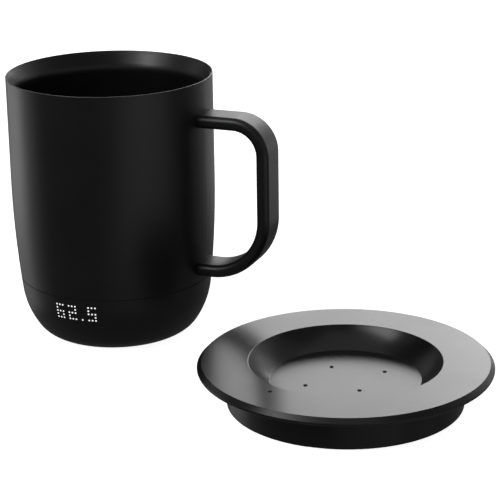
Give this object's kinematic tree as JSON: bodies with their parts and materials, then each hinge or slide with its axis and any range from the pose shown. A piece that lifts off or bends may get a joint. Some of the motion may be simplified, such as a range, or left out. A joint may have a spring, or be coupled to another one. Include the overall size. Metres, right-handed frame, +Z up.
{
  "type": "self heating mug with charging coaster",
  "caption": "Black steel mug with a D-shaped handle, battery, heater and dot readout in its base, beside a flanged charging coaster whose dish it seats in.",
  "frame": {"origin": "centre of the mug's foot, on the surface that mug and coaster stand on", "axes": "+Z up, +X from the mug's axis towards its handle, the readout faces -Y"},
  "size_m": [0.2046, 0.1364, 0.1043],
  "materials": {
    "black_metal": "satin black coating",
    "black_rubber": "matte",
    "black_plastic": "satin black",
    "grey_plastic": "satin",
    "steel": "plain",
    "grey_felt": "felt",
    "bare_aluminium": "plain",
    "amber_film": "smooth film",
    "brass_can": "plain",
    "red_rubber": "smooth sleeve",
    "cell_sleeve": "shrink sleeve",
    "green_board": "solder mask",
    "chip_plastic": "moulded",
    "white_lamp": "clear cap",
    "lit_dot": "lit white",
    "dark_dot": "unlit",
    "gold_contact": "gold plated",
    "clear_guide": "clear"
  },
  "bodies": {
    "coaster": {"coaster_top": "black_plastic", "coaster_base": "black_plastic", "coaster_foot": "black_rubber", "coaster_screws": "steel", "coaster_board": "green_board", "coaster_board_screws": "steel", "coaster_board_parts": "chip_plastic", "power_socket": "steel", "power_socket_tongue": "chip_plastic", "pin_barrels": "gold_contact", "pin_spring_1": "steel", "pin_spring_2": "steel", "pin_spring_3": "steel", "pin_spring_4": "steel", "indicator_lamp": "white_lamp", "indicator_guide": "clear_guide"},
    "mug": {"outer_shell": "black_metal", "inner_vessel": "black_metal", "seam_gasket": "black_rubber", "base_housing": "black_plastic", "handle": "black_metal", "handle_screws": "steel", "insulation_pad": "grey_felt", "heater_plate": "bare_aluminium", "heating_film": "amber_film", "temperature_sensor": "brass_can", "heater_leads": "red_rubber", "battery_cell_1": "cell_sleeve", "battery_cell_2": "cell_sleeve", "battery_holder": "black_plastic", "battery_contacts": "steel", "chassis_screws": "steel", "main_board": "green_board", "main_board_parts": "chip_plastic", "readout_board": "green_board", "readout_lamps": "white_lamp", "readout_baffle": "black_plastic", "readout_dots_lit": "lit_dot", "readout_dots_unlit": "dark_dot", "readout_ribbon": "amber_film", "bottom_cover": "black_plastic", "bottom_cover_screws": "steel", "bottom_seal": "black_rubber", "foot_ring": "black_rubber", "contact_ring_outer": "gold_contact", "contact_ring_inner": "gold_contact", "ring_springs": "gold_contact", "button_boot": "black_rubber", "power_switch": "chip_plastic"},
    "power_button": {"power_button": "grey_plastic"},
    "contact_pin_1": {"contact_pin_1": "gold_contact"},
    "contact_pin_2": {"contact_pin_2": "gold_contact"},
    "contact_pin_3": {"contact_pin_3": "gold_contact"},
    "contact_pin_4": {"contact_pin_4": "gold_contact"}
  },
  "joints": [
    {"name": "mug_lift", "type": "slide", "parent": "coaster", "child": "mug", "axis": [0, 0, 1], "range_m": [0, 0.15]},
    {"name": "power_button_press", "type": "slide", "parent": "mug", "child": "power_button", "axis": [0, 0, 1], "range_m": [0, 0.0005], "stiffness_N_per_m": 3000, "springref_m": -0.0001, "deforming": ["button_boot"]},
    {"name": "contact_pin_1_press", "type": "slide", "parent": "coaster", "child": "contact_pin_1", "axis": [0, 0, -1], "range_m": [0, 0.00025], "stiffness_N_per_m": 500, "springref_m": -0.0005, "deforming": ["pin_spring_1"]},
    {"name": "contact_pin_2_press", "type": "slide", "parent": "coaster", "child": "contact_pin_2", "axis": [0, 0, -1], "range_m": [0, 0.00025], "stiffness_N_per_m": 500, "springref_m": -0.0005, "deforming": ["pin_spring_2"]},
    {"name": "contact_pin_3_press", "type": "slide", "parent": "coaster", "child": "contact_pin_3", "axis": [0, 0, -1], "range_m": [0, 0.00025], "stiffness_N_per_m": 500, "springref_m": -0.0005, "deforming": ["pin_spring_3"]},
    {"name": "contact_pin_4_press", "type": "slide", "parent": "coaster", "child": "contact_pin_4", "axis": [0, 0, -1], "range_m": [0, 0.00025], "stiffness_N_per_m": 500, "springref_m": -0.0005, "deforming": ["pin_spring_4"]}
  ]
}
